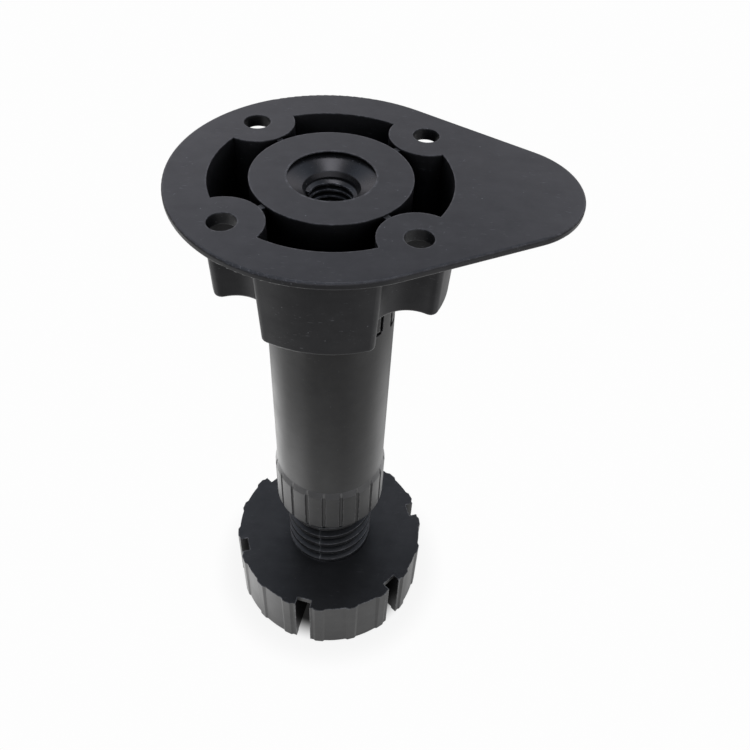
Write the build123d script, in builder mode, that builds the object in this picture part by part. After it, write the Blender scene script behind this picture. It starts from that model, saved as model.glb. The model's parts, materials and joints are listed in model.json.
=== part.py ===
from build123d import *
import os

# Adjustable furniture leveling foot: a screw-on socket plate, a column tube that snaps into it
# and swivels, a threaded head in the column's top, and a foot on a trapezoidal screw stem.
#
# Frame: the origin is the centre of the hub on the plate's mounting face, +Z points up into the
# furniture and +X towards the plate's narrow tail. Lengths are in millimetres, angles in degrees.
# In each (radius, height) profile below, heights are the real ones, so they are mostly negative.

# ---- mounting plate: flange ---------------------------------------------------------------
FLANGE_R = 38.25
TAIL_R = 20.0
TAIL_X = 38.2
FLANGE_THICK = 2.0
FLANGE_EDGE_R = 0.6
SCREW_PITCH = 42.0
SCREW_HOLE_R = 3.3
SCREW_BOSS_R = 6.0
SCREW_BOSS_DEPTH = 3.0

# ---- mounting plate: lobed socket and its pockets -------------------------------------------
SOCKET_DEPTH = 28.8
LOBE_TOP_R = 31.0
LOBE_BOTTOM_R = 30.0
BITE_TOP_R = 8.0
BITE_BOTTOM_R = 8.8
CORNER_R = 2.0
TOE_R = 1.0
HUB_R = 19.0
POCKET_TOP_R = 28.3
POCKET_BOTTOM_R = 27.4
POCKET_ISLAND_TOP_R = 9.3
POCKET_ISLAND_BOTTOM_R = 10.0
POCKET_FLOOR = 1.8
WEB_THICK = 1.5
WEB_RECESS = 0.5
WEB_DIRECTIONS = (45, 135)

# ---- mounting plate: hub bore --------------------------------------------------------------
EYE_R = 10.3
LIP_LAND = 0.3
LIP_UNDERCUT = 0.85
HUB_DISC = 1.15
RUNNING_CLEARANCE = 0.08
PLAY = 0.05
SNAP_GROOVE_R = 18.15
SNAP_GROOVE_HEIGHT = 2.6
SNAP_LEDGE = 1.6
BORE_CHAMFER = 0.7

# ---- column tube -----------------------------------------------------------------------------
SPIGOT_R = 17.15
TUBE_END_R = 17.1
TUBE_BORE_R = 14.9
TUBE_BOTTOM = -121.15
BAND_TOP = -102.4
BAND_R = 17.75
BAND_RAMP = 2.6
BAND_FLUTES = 20
FLUTE_R = 0.6
EDGE_BREAK = 0.4
FINGERS_OF_EACH = 4
LONG_FINGER_PHASE = -3.5
LONG_FINGER_BOTTOM = -40.5
SHORT_FINGER_PHASE = 41.5
SHORT_FINGER_BOTTOM = -38.7
FINGER_TOP = -15.0
FINGER_HALF_ANGLE = 14.0
SLIT = 1.2
BARB_R = 17.85
BARB_HEIGHT = 2.0
BARB_ARC = 17.0

# ---- threaded head in the column's top ----------------------------------------------------------
HEAD_RIM = 1.8
HEAD_RIM_R = 17.0
HEAD_FIT = 0.03
HEAD_BOTTOM = -14.2
FUNNEL_R = 11.15
FUNNEL_THROAT_R = 6.8
FUNNEL_THROAT_Z = -3.2
THREAD_MOUTH_Z = -4.4
HEAD_THREAD_MAJOR_R = 6.15
HEAD_THREAD_MINOR_R = 5.1
HEAD_THREAD_PITCH = 1.75
HEAD_THREAD_START_Z = -13.18
HEAD_THREAD_ROOT_WIDTH = 1.45
HEAD_THREAD_CREST_WIDTH = 0.45
HEAD_THREAD_EMBED = 0.1
HEAD_THREAD_TURNS = 4.5
HEAD_RECESS_INNER_R = 9.0
HEAD_RECESS_OUTER_R = 12.6
HEAD_RECESS_TOP = -5.6
HEAD_RIBS = 6
HEAD_RIB_THICK = 1.2

# ---- foot: cup and screw stem ------------------------------------------------------------------
FOOT_TOP = -148.15
FOOT_BOTTOM = -171.6
FOOT_DISC = 2.2
SKIRT_TOP_R = 32.6
SKIRT_BOTTOM_R = 32.8
SKIRT_INNER_R = 30.6
SKIRT_RIBS = 18
SKIRT_RIB_R = 33.2
SKIRT_RIB_BASE = 5.2
SKIRT_RIB_TOP = 2.6
SKIRT_RIB_ROOT = 0.3
SKIRT_RIB_PHASE = 10.0
SLOTS = 6
SLOT_PHASE = 20.0
SLOT_WIDTH = 5.0
SLOT_FLOOR_R = 29.8
SPOKE_THICK = 1.6
SPOKE_RISE = 1.0
STEM_TOP = -93.0
STEM_ROOT_R = 12.1
STEM_CREST_R = 14.4
STEM_HOLLOW_R = 9.0
STEM_CAP = 2.4
STEM_CHAMFER = 1.8
SCREW_LEAD = 5.0
RIDGE_ROOT_WIDTH = 2.9
RIDGE_CREST_WIDTH = 1.3
RIDGE_HEIGHT_AT_ZERO_TURN = -146.14
THREAD_SIDE_PLAY = 0.2
THREAD_TIP_PLAY = 0.2
RIDGE_EMBED = 0.3
STEM_RIDGE_TURNS = 12
HALF_TURN = 180.0
NUT_LENGTH = 20.0
NUT_LEAD_IN = 1.5
NUT_GROOVE_LEADS_UP = 4
NUT_GROOVE_TURNS = 6

# A cut or a join runs this far past the face it starts from.
PAST = 1.0

# ---- values that follow from the ones above ------------------------------------------------------
SOCKET_BOTTOM = -SOCKET_DEPTH
POCKET_BOTTOM = SOCKET_BOTTOM + POCKET_FLOOR
BORE_R = SPIGOT_R + RUNNING_CLEARANCE
LEDGE_TOP = SOCKET_BOTTOM + SNAP_LEDGE
HEAD_TOP = -HUB_DISC - PLAY
TUBE_TOP = HEAD_TOP - HEAD_RIM
BARB_CATCH = LEDGE_TOP + PLAY
NUT_TOP = TUBE_BOTTOM + NUT_LENGTH
NUT_CREST_R = STEM_ROOT_R + THREAD_TIP_PLAY
NUT_GROOVE_START = RIDGE_HEIGHT_AT_ZERO_TURN + NUT_GROOVE_LEADS_UP * SCREW_LEAD
RIDGE_TAPER = (RIDGE_ROOT_WIDTH - RIDGE_CREST_WIDTH) / (STEM_CREST_R - STEM_ROOT_R)


def turned(profile):
    """A solid of revolution about Z from a closed (radius, height) profile."""
    with BuildPart() as body:
        with BuildSketch(Plane.XZ):
            with BuildLine():
                Polyline(*profile, close=True)
            make_face()
        revolve(axis=Axis.Z)
    return body.part


def helical_ridge(inner, outer, lead, start_z, turns):
    """A ridge wound right-handed about Z from angle zero at start_z.

    inner and outer are (radius, width) pairs of its trapezoid section."""
    section = [
        (inner[0], start_z - inner[1] / 2),
        (outer[0], start_z - outer[1] / 2),
        (outer[0], start_z + outer[1] / 2),
        (inner[0], start_z + inner[1] / 2),
    ]
    with BuildPart() as ridge:
        with BuildLine() as spine:
            Helix(pitch=lead, height=lead * turns, radius=inner[0], center=(0, 0, start_z))
        with BuildSketch(Plane.XZ):
            with BuildLine():
                Polyline(*section, close=True)
            make_face()
        sweep(path=spine.wires()[0], is_frenet=True)
    return ridge.part


# ==== mounting plate ==============================================================================

# Outside of the socket: a drafted cup, bitten away under the four screw holes.
cup = turned([(0, -PAST), (LOBE_TOP_R, -PAST), (LOBE_BOTTOM_R, SOCKET_BOTTOM), (0, SOCKET_BOTTOM)])
bite = turned([(0, 0), (BITE_TOP_R, 0), (BITE_BOTTOM_R, SOCKET_BOTTOM), (0, SOCKET_BOTTOM)])
with BuildPart() as lobed_socket:
    add(cup)
    with GridLocations(SCREW_PITCH, SCREW_PITCH, 2, 2):
        add(bite, mode=Mode.SUBTRACT)
    corners = lobed_socket.edges().filter_by(
        lambda edge: abs((edge @ 1).Z - (edge @ 0).Z) > SOCKET_DEPTH / 2
    )
    fillet(corners, CORNER_R)
    fillet(lobed_socket.faces().sort_by(Axis.Z)[0].edges(), TOE_R)

# Core of the four open pockets: a drafted ring, less the islands under the screws and the webs.
pocket_ring = turned([(HUB_R, PAST), (POCKET_TOP_R, PAST), (POCKET_TOP_R, 0),
                      (POCKET_BOTTOM_R, POCKET_BOTTOM), (HUB_R, POCKET_BOTTOM)])
pocket_island = turned([(0, 2 * PAST), (POCKET_ISLAND_TOP_R, 2 * PAST), (POCKET_ISLAND_TOP_R, 0),
                        (POCKET_ISLAND_BOTTOM_R, POCKET_BOTTOM - PAST), (0, POCKET_BOTTOM - PAST)])
with BuildPart() as pocket_core:
    add(pocket_ring)
    with GridLocations(SCREW_PITCH, SCREW_PITCH, 2, 2):
        add(pocket_island, mode=Mode.SUBTRACT)
    with Locations((0, 0, -WEB_RECESS - SOCKET_DEPTH / 2)):
        for direction in WEB_DIRECTIONS:
            Box(2 * POCKET_TOP_R, WEB_THICK, SOCKET_DEPTH, rotation=(0, 0, direction),
                mode=Mode.SUBTRACT)

# Bore for the column, from the top: eye, undercut lip, plain bore, snap groove, ledge, lead-in.
column_bore = turned([
    (0, PAST), (EYE_R, PAST), (EYE_R, -LIP_LAND),
    (EYE_R + LIP_UNDERCUT, -HUB_DISC), (BORE_R, -HUB_DISC),
    (BORE_R, LEDGE_TOP + SNAP_GROOVE_HEIGHT + SNAP_GROOVE_R - BORE_R),
    (SNAP_GROOVE_R, LEDGE_TOP + SNAP_GROOVE_HEIGHT), (SNAP_GROOVE_R, LEDGE_TOP),
    (BORE_R, LEDGE_TOP), (BORE_R, SOCKET_BOTTOM + BORE_CHAMFER),
    (BORE_R + BORE_CHAMFER, SOCKET_BOTTOM),
    (BORE_R + BORE_CHAMFER, SOCKET_BOTTOM - PAST), (0, SOCKET_BOTTOM - PAST),
])

with BuildPart() as mounting_plate:
    with BuildSketch(Plane.XY.offset(-FLANGE_THICK)):
        Circle(FLANGE_R)
        with Locations((TAIL_X, 0)):
            Circle(TAIL_R)
        make_hull()
    extrude(amount=FLANGE_THICK)
    fillet(mounting_plate.edges(), FLANGE_EDGE_R)
    add(lobed_socket.part)
    with BuildSketch(Plane.XY.offset(-SCREW_BOSS_DEPTH)):
        with GridLocations(SCREW_PITCH, SCREW_PITCH, 2, 2):
            Circle(SCREW_BOSS_R)
    extrude(amount=SCREW_BOSS_DEPTH - FLANGE_THICK / 2)
    with BuildSketch(Plane.XY.offset(PAST)):
        with GridLocations(SCREW_PITCH, SCREW_PITCH, 2, 2):
            Circle(SCREW_HOLE_R)
    extrude(amount=-SCREW_BOSS_DEPTH - 2 * PAST, mode=Mode.SUBTRACT)
    add(pocket_core.part, mode=Mode.SUBTRACT)
    add(column_bore, mode=Mode.SUBTRACT)

mounting_plate.part.label = "mounting_plate"

# ==== column tube ===================================================================================

tube_wall = turned([
    (TUBE_BORE_R, TUBE_TOP), (SPIGOT_R - EDGE_BREAK, TUBE_TOP),
    (SPIGOT_R, TUBE_TOP - EDGE_BREAK), (SPIGOT_R, SOCKET_BOTTOM),
    (TUBE_END_R, BAND_TOP), (BAND_R, BAND_TOP - BAND_RAMP), (BAND_R, TUBE_BOTTOM + EDGE_BREAK),
    (BAND_R - EDGE_BREAK, TUBE_BOTTOM), (NUT_CREST_R + NUT_LEAD_IN, TUBE_BOTTOM),
    (NUT_CREST_R, TUBE_BOTTOM + NUT_LEAD_IN), (NUT_CREST_R, NUT_TOP),
    (TUBE_BORE_R, NUT_TOP + TUBE_BORE_R - NUT_CREST_R),
])

# One snap barb: a ramp that rises downwards to a flat catch, on one finger's arc.
with BuildPart() as barb:
    with BuildSketch(Plane.XZ):
        with BuildLine():
            Polyline((SPIGOT_R - EDGE_BREAK, BARB_CATCH), (BARB_R, BARB_CATCH),
                     (BARB_R, BARB_CATCH + EDGE_BREAK), (SPIGOT_R, BARB_CATCH + BARB_HEIGHT),
                     (SPIGOT_R - EDGE_BREAK, BARB_CATCH + BARB_HEIGHT), close=True)
        make_face()
    revolve(axis=Axis.Z, revolution_arc=BARB_ARC)


def finger_slit(bottom):
    """The U-shaped slit that frees one finger, centred on +X and closed at the given height."""
    depth = 2 * (SPIGOT_R - TUBE_BORE_R + PAST)
    with BuildPart() as under:
        with BuildSketch(Plane.XZ):
            with Locations((SPIGOT_R, bottom)):
                Rectangle(depth, SLIT)
        revolve(axis=Axis.Z, revolution_arc=2 * FINGER_HALF_ANGLE)
    with BuildPart() as slit:
        add(under.part, rotation=(0, 0, -FINGER_HALF_ANGLE))
        for side in (-1, 1):
            with PolarLocations(SPIGOT_R, 1, start_angle=side * FINGER_HALF_ANGLE):
                with Locations((0, 0, (FINGER_TOP + bottom) / 2)):
                    Box(depth, SLIT, FINGER_TOP - bottom)
    return slit.part


long_slit = finger_slit(LONG_FINGER_BOTTOM)
short_slit = finger_slit(SHORT_FINGER_BOTTOM)
nut_groove = helical_ridge(
    (NUT_CREST_R - PAST,
     RIDGE_ROOT_WIDTH + 2 * THREAD_SIDE_PLAY + RIDGE_TAPER * (PAST - THREAD_TIP_PLAY)),
    (STEM_CREST_R + THREAD_TIP_PLAY, RIDGE_CREST_WIDTH + 2 * THREAD_SIDE_PLAY),
    SCREW_LEAD, NUT_GROOVE_START, NUT_GROOVE_TURNS,
)

with BuildPart() as leg_tube:
    add(tube_wall)
    with PolarLocations(0, 2 * FINGERS_OF_EACH, start_angle=LONG_FINGER_PHASE - BARB_ARC / 2):
        add(barb.part)
    with PolarLocations(0, FINGERS_OF_EACH, start_angle=LONG_FINGER_PHASE):
        add(long_slit, mode=Mode.SUBTRACT)
    with PolarLocations(0, FINGERS_OF_EACH, start_angle=SHORT_FINGER_PHASE):
        add(short_slit, mode=Mode.SUBTRACT)
    with BuildSketch(Plane.XY.offset(TUBE_BOTTOM - PAST)):
        with PolarLocations(BAND_R, BAND_FLUTES):
            Circle(FLUTE_R)
    extrude(amount=BAND_TOP - TUBE_BOTTOM + 2 * PAST, mode=Mode.SUBTRACT)
    add(nut_groove, mode=Mode.SUBTRACT)

leg_tube.part.label = "leg_tube"

# ==== threaded head =================================================================================

head_body = turned([
    (FUNNEL_R, HEAD_TOP), (HEAD_RIM_R, HEAD_TOP), (HEAD_RIM_R, TUBE_TOP),
    (TUBE_BORE_R - HEAD_FIT, TUBE_TOP), (TUBE_BORE_R - HEAD_FIT, HEAD_BOTTOM),
    (HEAD_THREAD_MAJOR_R, HEAD_BOTTOM), (HEAD_THREAD_MAJOR_R, THREAD_MOUTH_Z),
    (FUNNEL_THROAT_R, FUNNEL_THROAT_Z),
])
head_recess = turned([
    (HEAD_RECESS_INNER_R, HEAD_BOTTOM - PAST), (HEAD_RECESS_OUTER_R, HEAD_BOTTOM - PAST),
    (HEAD_RECESS_OUTER_R, HEAD_RECESS_TOP), (HEAD_RECESS_INNER_R, HEAD_RECESS_TOP),
])
head_ridge = helical_ridge(
    (HEAD_THREAD_MAJOR_R + HEAD_THREAD_EMBED, HEAD_THREAD_ROOT_WIDTH),
    (HEAD_THREAD_MINOR_R, HEAD_THREAD_CREST_WIDTH),
    HEAD_THREAD_PITCH, HEAD_THREAD_START_Z, HEAD_THREAD_TURNS,
)

with BuildPart() as recess_core:
    add(head_recess)
    with PolarLocations((HEAD_RECESS_INNER_R + HEAD_RECESS_OUTER_R) / 2, HEAD_RIBS):
        Box(HEAD_RECESS_OUTER_R, HEAD_RIB_THICK, 2 * (PAST - HEAD_BOTTOM), mode=Mode.SUBTRACT)

with BuildPart() as threaded_head:
    add(head_body)
    add(recess_core.part, mode=Mode.SUBTRACT)
    add(head_ridge)

threaded_head.part.label = "threaded_head"

# ==== foot with its screw stem ======================================================================

# The stem's ridge, trimmed to the stem's chamfered top.
stem_envelope = turned([
    (0, FOOT_TOP - FOOT_DISC), (STEM_CREST_R + PAST, FOOT_TOP - FOOT_DISC),
    (STEM_CREST_R + PAST, STEM_TOP - STEM_CHAMFER - PAST), (STEM_CREST_R - STEM_CHAMFER, STEM_TOP),
    (0, STEM_TOP),
])
stem_ridge_coil = helical_ridge(
    (STEM_ROOT_R - RIDGE_EMBED, RIDGE_ROOT_WIDTH + RIDGE_TAPER * RIDGE_EMBED),
    (STEM_CREST_R, RIDGE_CREST_WIDTH),
    SCREW_LEAD, RIDGE_HEIGHT_AT_ZERO_TURN - SCREW_LEAD / 2, STEM_RIDGE_TURNS,
)
with BuildPart() as stem_ridge:
    add(stem_ridge_coil, rotation=(0, 0, HALF_TURN))
    add(stem_envelope, mode=Mode.INTERSECT)

stem_core = turned([
    (STEM_HOLLOW_R, FOOT_BOTTOM + SPOKE_RISE), (STEM_ROOT_R, FOOT_BOTTOM + SPOKE_RISE),
    (STEM_ROOT_R, STEM_TOP - EDGE_BREAK), (STEM_ROOT_R - EDGE_BREAK, STEM_TOP),
    (0, STEM_TOP), (0, STEM_TOP - STEM_CAP), (STEM_HOLLOW_R, STEM_TOP - STEM_CAP),
])

cup_wall = turned([
    (0, FOOT_TOP), (SKIRT_TOP_R, FOOT_TOP), (SKIRT_BOTTOM_R, FOOT_BOTTOM),
    (SKIRT_INNER_R, FOOT_BOTTOM), (SKIRT_INNER_R, FOOT_TOP - FOOT_DISC), (0, FOOT_TOP - FOOT_DISC),
])

with BuildPart() as leveling_foot:
    add(cup_wall)
    # Ribs round the cup; they stand upright, so the flared skirt meets them at the floor.
    with BuildSketch(Plane.XY.offset(FOOT_BOTTOM)):
        with PolarLocations(SKIRT_TOP_R, SKIRT_RIBS, start_angle=SLOT_PHASE + SKIRT_RIB_PHASE):
            Polygon((-SKIRT_RIB_ROOT, -SKIRT_RIB_BASE / 2),
                    (SKIRT_RIB_R - SKIRT_TOP_R, -SKIRT_RIB_TOP / 2),
                    (SKIRT_RIB_R - SKIRT_TOP_R, SKIRT_RIB_TOP / 2),
                    (-SKIRT_RIB_ROOT, SKIRT_RIB_BASE / 2), align=None)
    extrude(amount=FOOT_TOP - FOOT_BOTTOM)
    # Two spokes beside each slot, from the stem's sleeve to the skirt.
    with BuildSketch(Plane.XY.offset(FOOT_BOTTOM + SPOKE_RISE)):
        for side in (-1, 1):
            with PolarLocations(0, SLOTS, start_angle=SLOT_PHASE):
                with Locations(((STEM_ROOT_R + SKIRT_INNER_R) / 2,
                                side * (SLOT_WIDTH + SPOKE_THICK) / 2)):
                    Rectangle(SKIRT_TOP_R - STEM_ROOT_R, SPOKE_THICK)
    extrude(amount=FOOT_TOP - FOOT_DISC / 2 - FOOT_BOTTOM - SPOKE_RISE)
    add(stem_core)
    add(stem_ridge.part)
    with BuildSketch(Plane.XY.offset(FOOT_BOTTOM - PAST)):
        Circle(STEM_HOLLOW_R)
    extrude(amount=STEM_TOP - STEM_CAP - FOOT_BOTTOM + PAST, mode=Mode.SUBTRACT)
    # Slots in the cup's edge.
    with BuildSketch(Plane.XY.offset(FOOT_BOTTOM - PAST)):
        with PolarLocations(SLOT_FLOOR_R, SLOTS, start_angle=SLOT_PHASE):
            with Locations((SLOT_FLOOR_R / 2, 0)):
                Rectangle(SLOT_FLOOR_R, SLOT_WIDTH)
    extrude(amount=FOOT_TOP - FOOT_BOTTOM + 2 * PAST, mode=Mode.SUBTRACT)

leveling_foot.part.label = "leveling_foot"

# ==== export ==========================================================================================

os.makedirs("parts", exist_ok=True)
export_step(mounting_plate.part, "parts/mounting_plate.step")
export_step(leg_tube.part, "parts/leg_tube.step")
export_step(threaded_head.part, "parts/threaded_head.step")
export_step(leveling_foot.part, "parts/leveling_foot.step")
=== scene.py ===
import json
import math

import bpy
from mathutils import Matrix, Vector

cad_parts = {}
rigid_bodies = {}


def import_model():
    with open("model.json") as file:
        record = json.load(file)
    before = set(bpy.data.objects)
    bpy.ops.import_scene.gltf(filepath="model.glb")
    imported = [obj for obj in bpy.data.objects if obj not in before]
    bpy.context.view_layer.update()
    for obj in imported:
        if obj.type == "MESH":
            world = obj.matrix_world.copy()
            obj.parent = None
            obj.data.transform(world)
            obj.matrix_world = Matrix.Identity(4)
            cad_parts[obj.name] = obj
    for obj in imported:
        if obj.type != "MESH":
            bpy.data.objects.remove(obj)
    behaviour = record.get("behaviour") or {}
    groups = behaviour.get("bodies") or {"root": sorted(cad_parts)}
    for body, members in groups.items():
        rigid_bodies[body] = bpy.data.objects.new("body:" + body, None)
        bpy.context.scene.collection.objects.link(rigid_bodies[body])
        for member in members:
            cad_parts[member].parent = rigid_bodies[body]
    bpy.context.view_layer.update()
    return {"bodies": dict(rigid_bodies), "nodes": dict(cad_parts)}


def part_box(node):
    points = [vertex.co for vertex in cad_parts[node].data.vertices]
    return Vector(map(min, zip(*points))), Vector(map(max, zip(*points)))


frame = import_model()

MM = 0.001

# ---------------------------------------------------------------- camera
CAMERA_PLACE = (0.0177, -0.1551, 0.0996)
CAMERA_TURN_DEG = (43.16, -2.65, 4.44)
CAMERA_LENS = 37.55
SENSOR_WIDTH = 36.0
CAMERA_SHIFT = (-0.002, 0.001)
CAMERA_NEAREST = 0.01

# ---------------------------------------------------------------- light and floor
FLOOR_HALF_SIDE = 4.0
FLOOR_VALUE = 0.985
FLOOR_GLOW = 0.35
SKY_FILL = 0.17

# Softboxes of the light tent: azimuth from +X, height above the floor, half width (all in degrees)
# and strength. The camera stands at azimuth -90.
SOFTBOXES = {
    "back": (90.0, 20.0, 40.0, 0.5),
    "back_left": (135.0, 30.0, 40.0, 1.0),
    "back_right": (45.0, 30.0, 40.0, 0.9),
    "left": (180.0, 35.0, 30.0, 0.4),
    "right": (0.0, 35.0, 30.0, 0.4),
    "front_right": (-45.0, 20.0, 40.0, 0.9),
    "front_high": (-90.0, 60.0, 55.0, 0.9),
    "front_low": (-90.0, 20.0, 30.0, 0.4),
    "overhead": (90.0, 82.0, 14.0, 5.0),
}

# The tent is cooler high up, but not in its crown: sine of the height, and the tint there.
SKY_TINTS = [
    (0.50, (0.995, 0.970, 1.035)),
    (0.88, (0.82, 0.97, 1.21)),
    (0.96, (1.0, 0.99, 1.06)),
]

# Bright pools on the floor, as the object mirrors it: azimuth in degrees, distance from the foot's
# axis and radius in metres, and strength.
FLOOR_POOLS = {
    "front": (-90.0, 0.06, 0.06, 0.6),
    "front_left": (-150.0, 0.06, 0.05, 1.6),
    "front_left_far": (-150.0, 0.22, 0.13, 1.1),
    "back_left": (150.0, 0.08, 0.08, 2.0),
    "back_left_far": (150.0, 0.25, 0.20, 1.0),
    "front_right": (-30.0, 0.06, 0.05, 0.4),
    "front_right_far": (-30.0, 0.22, 0.13, 0.7),
    "back_right": (30.0, 0.08, 0.08, 1.0),
    "back_right_far": (30.0, 0.30, 0.25, 0.5),
    "back_far": (90.0, 0.30, 0.25, 0.6),
}

# Painted shadow of the foot on the floor: radii from its axis, and the share of light left at
# each. It is nearly dark under the cup, almost bright at the rim and fully bright a little further out.
SHADE_CORE_RADIUS = 0.0255
SHADE_RIM_RADIUS = 0.0340
SHADE_END_RADIUS = 0.0460
SHADE_CORE = 0.015
SHADE_RIM = 0.93

# ---------------------------------------------------------------- surface patterns
# Each noise has its repeats per metre along X, Y and Z.
CLOUDS = {"scale": (70.0, 70.0, 70.0), "detail": 4.0, "roughness": 0.6}
FLOW_MARKS = {"scale": (45.0, 260.0, 260.0), "detail": 3.0, "distortion": 0.6}
BLOTCHES = {"scale": (210.0, 210.0, 210.0), "detail": 3.0, "roughness": 0.65}
WAVINESS = {"scale": (160.0, 160.0, 160.0), "detail": 2.0}
GRAIN = {"scale": (2600.0, 2600.0, 2600.0), "detail": 3.0, "roughness": 0.65}
STREAKS = {"scale": (420.0, 3400.0, 3400.0), "detail": 1.0}
CROSS_STREAKS = {"scale": (2600.0, 420.0, 2600.0), "detail": 1.0}
SCUFF_PATCHES = {"scale": (110.0, 110.0, 110.0), "detail": 2.0}
WEAR_AND_HIGHLIGHT_GAPS = {"scale": (620.0, 620.0, 620.0), "detail": 3.0, "roughness": 0.7}
SEAM_SPOTS = {"scale": (500.0, 500.0, 500.0), "detail": 2.0}

# The noise values between which a mark fades in.
STREAKS_SHOW = (0.68, 0.76)
CROSS_STREAKS_SHOW = (0.74, 0.80)
CROSS_STREAKS_TURN = 25.0
SCUFF_PATCHES_SHOW = (0.42, 0.60)
WEAR_AND_HIGHLIGHT_GAPS_SHOW = (0.44, 0.62)
SEAM_SPOTS_SHOW = (0.45, 0.60)

# Dust specks: size of the cells they sit in, share of cells with one, and radius in cells.
DUST_CELL = 1.9 * MM
DUST_SHARE = 0.14
DUST_RADIUS = 0.10

# Share of light that clean black plastic scatters, and how the clouds and flow marks vary it.
BLACK = 0.008
BLACK_LEAST = 0.57
BLACK_CLOUDS = 0.55
BLACK_FLOW = 0.30
SCRATCH_PALENESS = 0.06
DUST_PALENESS = 0.10

# How the patterns vary the roughness and the gloss.
ROUGHNESS_CLOUDS = 0.16
ROUGHNESS_SCRATCH = 0.14
ROUGHNESS_RUBBED_AND_HIGHLIT = -0.08
GLOSS_BLOTCHES = 0.22
GLOSS_FLOW = 0.12
PLASTIC_IOR = 1.49

# Bumps: strength and height.
WAVINESS_BUMP = (0.35, 0.08 * MM)
GRAIN_BUMP = (0.30, 0.02 * MM)
SCRATCH_BUMP = (0.35, 0.02 * MM)

# Pale outward edges, partly rubbed wear and partly painted highlight: how far the mark reaches in
# edge radii, how open an edge is where it starts and where it is full, the least of it in a gap,
# and what is left of it on sheltered edges near the axis.
WEAR_AND_HIGHLIGHT_REACH = 2.0
WEAR_AND_HIGHLIGHT_OPENNESS = (0.86, 0.58)
WEAR_AND_HIGHLIGHT_IN_GAPS = 0.12
WEAR_AND_HIGHLIGHT_SHELTERED = 0.22
SHELTER_FADE = 3.0 * MM

# A parting line's half width, from where it fades in to where it is full, and its faintest spot.
SEAM_WIDTHS = (0.25 * MM, 0.05 * MM)
SEAM_LEAST = 0.25

# Painted shade in pockets and thread valleys: colour and gloss are darkened where a spot is enclosed.
# For each kind of hollow: how far its walls may stand apart, how open to the air a spot is where the
# painted shade is full and where it ends, and the share of colour and gloss left where it is full.
POCKET_PAINTED_SHADE = (14.0 * MM, 0.26, 0.68, 0.06)
THREAD_PAINTED_SHADE = (5.0 * MM, 0.12, 0.62, 0.25)
STEM_VALLEY_PAINTED_SHADE = (9.0 * MM, 0.12, 0.62, 0.25)


# ---------------------------------------------------------------- node building
class Nodes:
    """A node tree, with short calls for the nodes used here."""

    def __init__(self, tree):
        self.tree = tree
        self.tree.nodes.clear()

    def node(self, kind, settings=None, **inputs):
        made = self.tree.nodes.new(kind)
        for key, value in (settings or {}).items():
            setattr(made, key, value)
        for key, value in inputs.items():
            self.feed(made.inputs[key.replace("_", " ")], value)
        return made

    def feed(self, socket, value):
        if isinstance(value, bpy.types.NodeSocket):
            self.tree.links.new(value, socket)
        else:
            socket.default_value = value

    def math(self, operation, a, b=0.0, c=0.0, clamp=False):
        made = self.node("ShaderNodeMath", {"operation": operation, "use_clamp": clamp})
        for socket, value in zip(made.inputs, (a, b, c)):
            self.feed(socket, value)
        return made.outputs[0]

    def vector_math(self, operation, a, b):
        made = self.node("ShaderNodeVectorMath", {"operation": operation})
        self.feed(made.inputs[0], a)
        self.feed(made.inputs[1], b)
        return made.outputs

    def weighted(self, base, *terms):
        """base plus each (value, weight) pair's product."""
        for value, weight in terms:
            base = self.math("MULTIPLY_ADD", value, weight, base)
        return base

    def spread(self, value, low, high, out_low=0.0, out_high=1.0):
        """value, with low..high turned smoothly into out_low..out_high."""
        made = self.node("ShaderNodeMapRange", {"interpolation_type": "SMOOTHSTEP"})
        for key, given in (("Value", value), ("From Min", low), ("From Max", high),
                           ("To Min", out_low), ("To Max", out_high)):
            self.feed(made.inputs[key], given)
        return made.outputs["Result"]

    def mixed(self, factor, shader_at_0, shader_at_1):
        made = self.node("ShaderNodeMixShader", Fac=factor)
        self.feed(made.inputs[1], shader_at_0)
        self.feed(made.inputs[2], shader_at_1)
        return made.outputs[0]


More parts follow.
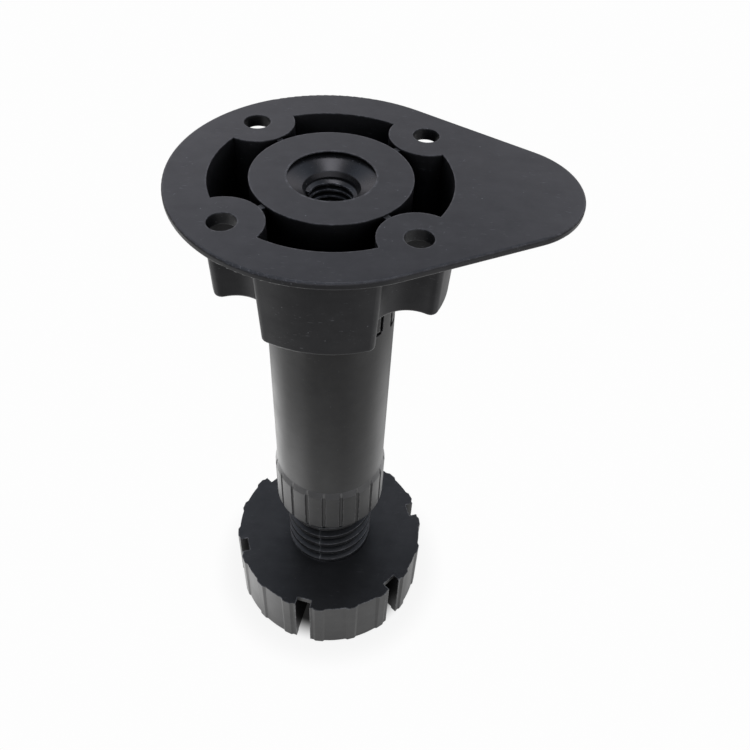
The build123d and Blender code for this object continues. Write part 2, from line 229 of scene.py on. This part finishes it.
class Shader(Nodes):
    """A material's node tree, with the patterns and masks of its surface."""

    def __init__(self, name):
        self.material = bpy.data.materials.new(name)
        self.material.use_nodes = True
        super().__init__(self.material.node_tree)
        self.output = self.node("ShaderNodeOutputMaterial")
        self.place = self.node("ShaderNodeTexCoord").outputs["Object"]

    def noise(self, scale, detail=2.0, roughness=0.5, distortion=0.0, turn=0.0):
        """Noise that is first turned about Z by so many degrees and then stretched."""
        turned = self.node("ShaderNodeMapping", Vector=self.place)
        turned.inputs["Rotation"].default_value = (0.0, 0.0, math.radians(turn))
        stretched = self.node("ShaderNodeMapping", Vector=turned.outputs[0])
        stretched.inputs["Scale"].default_value = scale
        made = self.node("ShaderNodeTexNoise", Vector=stretched.outputs[0], Scale=1.0, Detail=detail,
                         Roughness=roughness, Distortion=distortion)
        return made.outputs["Fac"]

    def specks(self, size, share, radius):
        """Small round marks: cells of the given size in metres, a share of them marked."""
        cells = self.node("ShaderNodeTexVoronoi", Vector=self.place, Scale=1.0 / size)
        chosen = self.node("ShaderNodeSeparateColor", Color=cells.outputs["Color"]).outputs[0]
        picked = self.math("LESS_THAN", chosen, share)
        return self.math("MULTIPLY", self.spread(cells.outputs["Distance"], radius, radius / 2), picked)

    def bump(self, height, normal, strength, distance, invert=False):
        made = self.node("ShaderNodeBump", {"invert": invert}, Strength=strength, Distance=distance,
                         Height=height, Normal=normal)
        return made.outputs[0]

    def height(self):
        return self.node("ShaderNodeSeparateXYZ", Vector=self.place).outputs["Z"]

    def from_axis(self):
        """Distance from the Z axis."""
        flat = self.vector_math("MULTIPLY", self.place, (1.0, 1.0, 0.0))["Vector"]
        return self.vector_math("DISTANCE", flat, (0.0, 0.0, 0.0))["Value"]

    def ring(self, low, high):
        """1 between the two heights and 0 elsewhere."""
        up = self.height()
        return self.math("MULTIPLY", self.math("GREATER_THAN", up, low), self.math("LESS_THAN", up, high))

    def rounded(self, radius):
        """The normal as if every edge were rounded to this radius."""
        return self.node("ShaderNodeBevel", {"samples": 6}, Radius=radius).outputs[0]

    def outer_edges(self, reach):
        """1 on an outward edge or a tight fillet, 0 on a flat: few rays into the solid stay inside it."""
        solid = self.node("ShaderNodeAmbientOcclusion", {"samples": 8, "inside": True}, Distance=reach)
        return self.spread(solid.outputs["AO"], *WEAR_AND_HIGHLIGHT_OPENNESS)

    def openness(self, reach):
        """1 out in the open, falling to 0 deep in a pocket."""
        hollow = self.node("ShaderNodeAmbientOcclusion", {"samples": 8}, Distance=reach)
        return hollow.outputs["AO"]


# ---------------------------------------------------------------- black plastic
def scratches(s, turn):
    """Fine streaks, and a few that cross them, in patches."""
    streaks = s.spread(s.noise(**STREAKS, turn=turn), *STREAKS_SHOW)
    cross = s.spread(s.noise(**CROSS_STREAKS, turn=turn + CROSS_STREAKS_TURN), *CROSS_STREAKS_SHOW)
    patches = s.spread(s.noise(**SCUFF_PATCHES), *SCUFF_PATCHES_SHOW)
    return s.math("MULTIPLY", s.math("ADD", streaks, cross, clamp=True), patches)


def rubbed_and_highlit_edges(s, edge_radius, worn_and_highlit_beyond):
    """Broken paleness on outward edges, partly rubbed wear and partly painted highlight, and little
    of it on edges nearer to the axis than the given radius.
    """
    gaps = s.spread(s.noise(**WEAR_AND_HIGHLIGHT_GAPS), *WEAR_AND_HIGHLIGHT_GAPS_SHOW, WEAR_AND_HIGHLIGHT_IN_GAPS, 1.0)
    rubbed_and_highlit = s.math("MULTIPLY", s.outer_edges(WEAR_AND_HIGHLIGHT_REACH * edge_radius), gaps)
    if worn_and_highlit_beyond is None:
        return rubbed_and_highlit
    exposed = s.spread(s.from_axis(), worn_and_highlit_beyond, worn_and_highlit_beyond + SHELTER_FADE, WEAR_AND_HIGHLIGHT_SHELTERED, 1.0)
    return s.math("MULTIPLY", rubbed_and_highlit, exposed)


def parting_line(s, azimuth, lowest):
    """A broken pale line down a turned part, in the plane through its axis at the given azimuth."""
    turn = math.radians(azimuth)
    across = s.vector_math("DOT_PRODUCT", s.place, (-math.sin(turn), math.cos(turn), 0.0))["Value"]
    line = s.spread(s.math("ABSOLUTE", across), *SEAM_WIDTHS)
    above = s.math("GREATER_THAN", s.height(), lowest)
    spots = s.spread(s.noise(**SEAM_SPOTS), *SEAM_SPOTS_SHOW, SEAM_LEAST, 1.0)
    return s.math("MULTIPLY", s.math("MULTIPLY", line, above), spots)


def moulded_plastic(name, tint, gloss_tint, roughness, edge_radius, wear_and_highlight, hollow_shade, scuff_turn=0.0,
                    scuff=1.0, mottle=1.0, sheen=0.5, worn_and_highlit_beyond=None, painted_ramp_light=None, seam=None):
    """Black injection-moulded plastic: flow marks, fine grain, scuffs, dust specks and rubbed edges.

    Edges nearer to the axis than the radius given for sheltered edges get little of the pale edge
    mark. The argument for the painted ramp light gives the lowest and the highest place of a ring
    painted glossier and paler where the lighting leaves it dark, its gain in gloss and its share of
    the pale edge mark. seam is the azimuth in degrees and the lowest height of a mould's parting line."""
    s = Shader(name)
    clouds = s.noise(**CLOUDS)
    flow = s.noise(**FLOW_MARKS, turn=scuff_turn)
    blotches = s.noise(**BLOTCHES)
    scratched = scratches(s, scuff_turn)
    dust = s.specks(DUST_CELL, DUST_SHARE, DUST_RADIUS)
    # Pale edges: partly rubbed wear, partly a painted highlight.
    rubbed_and_highlit = rubbed_and_highlit_edges(s, edge_radius, worn_and_highlit_beyond)
    if seam is not None:
        rubbed_and_highlit = s.math("ADD", rubbed_and_highlit, parting_line(s, *seam), clamp=True)
    ring = None
    # Painted light: the grip band's ramp is made glossier and paler where the lighting leaves it dark.
    if painted_ramp_light is not None:
        low, high, gain, ramp_paleness = painted_ramp_light
        ring = s.ring(low, high)
        rubbed_and_highlit = s.weighted(rubbed_and_highlit, (ring, ramp_paleness))
    # Painted shade: colour and gloss are darkened in hollows, by how enclosed a spot is.
    reach, shade_full, shade_end, light_left = hollow_shade
    painted_hollow_shade = s.spread(s.openness(reach), shade_full, shade_end, light_left, 1.0)

    shade = s.weighted(BLACK_LEAST, (clouds, BLACK_CLOUDS), (flow, BLACK_FLOW))
    light = s.weighted(s.math("MULTIPLY", shade, BLACK), (scratched, SCRATCH_PALENESS * scuff),
                       (dust, DUST_PALENESS * scuff), (rubbed_and_highlit, wear_and_highlight))
    light = s.math("MULTIPLY", light, painted_hollow_shade)
    colour = s.node("ShaderNodeCombineColor")
    for socket, part in zip(colour.inputs, tint):
        s.feed(socket, s.math("MULTIPLY", light, part))

    rough = s.weighted(roughness - ROUGHNESS_CLOUDS / 2, (clouds, ROUGHNESS_CLOUDS),
                       (scratched, ROUGHNESS_SCRATCH), (rubbed_and_highlit, ROUGHNESS_RUBBED_AND_HIGHLIT))
    gloss = s.weighted(sheen - (GLOSS_BLOTCHES + GLOSS_FLOW) / 2 * mottle,
                       (blotches, GLOSS_BLOTCHES * mottle), (flow, GLOSS_FLOW * mottle))
    # The painted shade in hollows darkens the gloss as well.
    gloss = s.math("MULTIPLY", gloss, painted_hollow_shade)
    # Painted light: the ramp's gloss is raised.
    if ring is not None:
        gloss = s.math("MULTIPLY", gloss, s.weighted(1.0, (ring, gain - 1.0)))

    normal = s.bump(s.noise(**WAVINESS), s.rounded(edge_radius), *WAVINESS_BUMP)
    normal = s.bump(s.noise(**GRAIN), normal, *GRAIN_BUMP)
    normal = s.bump(scratched, normal, *SCRATCH_BUMP, invert=True)
    surface = s.node("ShaderNodeBsdfPrincipled", Base_Color=colour.outputs[0], Roughness=rough,
                     IOR=PLASTIC_IOR, Specular_IOR_Level=gloss, Specular_Tint=gloss_tint + (1.0,),
                     Normal=normal)
    s.feed(s.output.inputs["Surface"], surface.outputs[0])
    return s.material


# ---------------------------------------------------------------- floor
def pooled_light(s, height):
    """Strength of the floor's light as the object mirrors it."""
    glow = FLOOR_GLOW
    for azimuth, distance, radius, strength in FLOOR_POOLS.values():
        turn = math.radians(azimuth)
        centre = (distance * math.cos(turn), distance * math.sin(turn), height)
        away = s.vector_math("DISTANCE", s.place, centre)["Value"]
        glow = s.math("ADD", s.spread(away, radius, 0.0, 0.0, strength), glow)
    return glow


def foot_shade(s):
    """Share of light left on the floor by the foot's painted shadow."""
    out = s.from_axis()
    under = s.spread(out, SHADE_CORE_RADIUS, SHADE_RIM_RADIUS, SHADE_CORE, SHADE_RIM)
    beside = s.spread(out, SHADE_RIM_RADIUS, SHADE_END_RADIUS, 1.0, 1.0 / SHADE_RIM)
    return s.math("MULTIPLY", under, beside)


def floor_material(height):
    """White to the camera but for the foot's painted shadow, pools of light in the reflections, and clear
    from below.
    """
    s = Shader("pale_floor")
    # Painted shadow under the foot, seen by the camera and in reflections.
    shade = foot_shade(s)
    mirrored = s.node("ShaderNodeEmission", Strength=s.math("MULTIPLY", pooled_light(s, height), shade))
    seen = s.node("ShaderNodeEmission", Strength=s.math("MULTIPLY", shade, FLOOR_VALUE))
    camera_ray = s.node("ShaderNodeLightPath").outputs["Is Camera Ray"]
    above = s.mixed(camera_ray, mirrored.outputs[0], seen.outputs[0])
    from_below = s.node("ShaderNodeNewGeometry").outputs["Backfacing"]
    clear = s.node("ShaderNodeBsdfTransparent").outputs[0]
    s.feed(s.output.inputs["Surface"], s.mixed(from_below, above, clear))
    return s.material


def make_floor(height):
    mesh = bpy.data.meshes.new("floor")
    h = FLOOR_HALF_SIDE
    corners = [(-h, -h, height), (h, -h, height), (h, h, height), (-h, h, height)]
    mesh.from_pydata(corners, [], [(0, 1, 2, 3)])
    mesh.materials.append(floor_material(height))
    floor = bpy.data.objects.new("floor", mesh)
    bpy.context.scene.collection.objects.link(floor)
    # The floor stays under the foot when a pose lifts or lowers the foot.
    floor.parent = frame["bodies"]["foot"]


# ---------------------------------------------------------------- sky
def make_sky():
    """A light tent: a dim fill all round, and soft bright panels."""
    world = bpy.data.worlds.new("studio")
    bpy.context.scene.world = world
    world.use_nodes = True
    sky = Nodes(world.node_tree)
    direction = sky.node("ShaderNodeTexCoord").outputs["Generated"]
    strength = SKY_FILL
    for azimuth, height, half_width, panel_strength in SOFTBOXES.values():
        turn, rise = math.radians(azimuth), math.radians(height)
        centre = (math.cos(rise) * math.cos(turn), math.cos(rise) * math.sin(turn), math.sin(rise))
        towards = sky.vector_math("DOT_PRODUCT", direction, centre)["Value"]
        panel = sky.spread(towards, math.cos(math.radians(half_width)), 1.0, 0.0, panel_strength)
        strength = sky.math("ADD", panel, strength)
    up = sky.node("ShaderNodeSeparateXYZ", Vector=direction).outputs["Z"]
    tint = sky.node("ShaderNodeValToRGB", Fac=up)
    stops = tint.color_ramp.elements
    while len(stops) < len(SKY_TINTS):
        stops.new(1.0)
    for stop, (height, colour) in zip(stops, SKY_TINTS):
        stop.position = height
        stop.color = colour + (1.0,)
    background = sky.node("ShaderNodeBackground", Color=tint.outputs["Color"], Strength=strength)
    sky.node("ShaderNodeOutputWorld", Surface=background.outputs[0])


# ---------------------------------------------------------------- camera object
def make_camera():
    data = bpy.data.cameras.new("camera")
    data.lens = CAMERA_LENS
    data.sensor_width = SENSOR_WIDTH
    data.shift_x, data.shift_y = CAMERA_SHIFT
    data.clip_start = CAMERA_NEAREST
    camera = bpy.data.objects.new("camera", data)
    bpy.context.scene.collection.objects.link(camera)
    camera.location = CAMERA_PLACE
    camera.rotation_euler = [math.radians(t) for t in CAMERA_TURN_DEG]
    bpy.context.scene.camera = camera


# ---------------------------------------------------------------- finishes
NEUTRAL = (1.0, 1.0, 1.0)
COOL = (0.93, 0.95, 1.0)
COOL_GLOSS = (0.97, 0.97, 1.0)
TUBE_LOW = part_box("leg_tube")[0].z

# The stem's parting line stands a little left of the front, from the foot's top upwards.
STEM_SEAM = (-98.0, TUBE_LOW - 26.7 * MM)

# Painted light on the grip band's upper ramp, which the lighting leaves darker: its lowest and
# highest height, its gain in gloss and its share of the pale edge mark.
GRIP_RAMP_PAINTED_LIGHT = (TUBE_LOW + 16.15 * MM, TUBE_LOW + 18.75 * MM, 1.9, 0.22)

# The plate's edges get the pale mark of wear and painted highlight outside its pockets only.
POCKETS_END = 33.0 * MM

finishes = {
    "mounting_plate": moulded_plastic("plate_plastic", COOL, COOL_GLOSS, 0.42, 0.35 * MM, 0.20,
                                      POCKET_PAINTED_SHADE, worn_and_highlit_beyond=POCKETS_END),
    "leg_tube": moulded_plastic("tube_plastic", NEUTRAL, NEUTRAL, 0.38, 0.30 * MM, 0.10, THREAD_PAINTED_SHADE,
                                scuff_turn=90.0, scuff=0.5, mottle=0.6, painted_ramp_light=GRIP_RAMP_PAINTED_LIGHT),
    "threaded_head": moulded_plastic("head_plastic", COOL, COOL_GLOSS, 0.28, 0.30 * MM, 0.16,
                                     THREAD_PAINTED_SHADE, mottle=0.6, sheen=0.36),
    "leveling_foot": moulded_plastic("foot_plastic", NEUTRAL, NEUTRAL, 0.33, 0.30 * MM, 0.12,
                                     STEM_VALLEY_PAINTED_SHADE, scuff=0.3, seam=STEM_SEAM),
}
for node_name, material in finishes.items():
    piece = frame["nodes"][node_name]
    piece.data.materials.clear()
    piece.data.materials.append(material)

make_floor(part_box("leveling_foot")[0].z)
make_sky()
make_camera()
bpy.context.scene.view_settings.view_transform = "Standard"
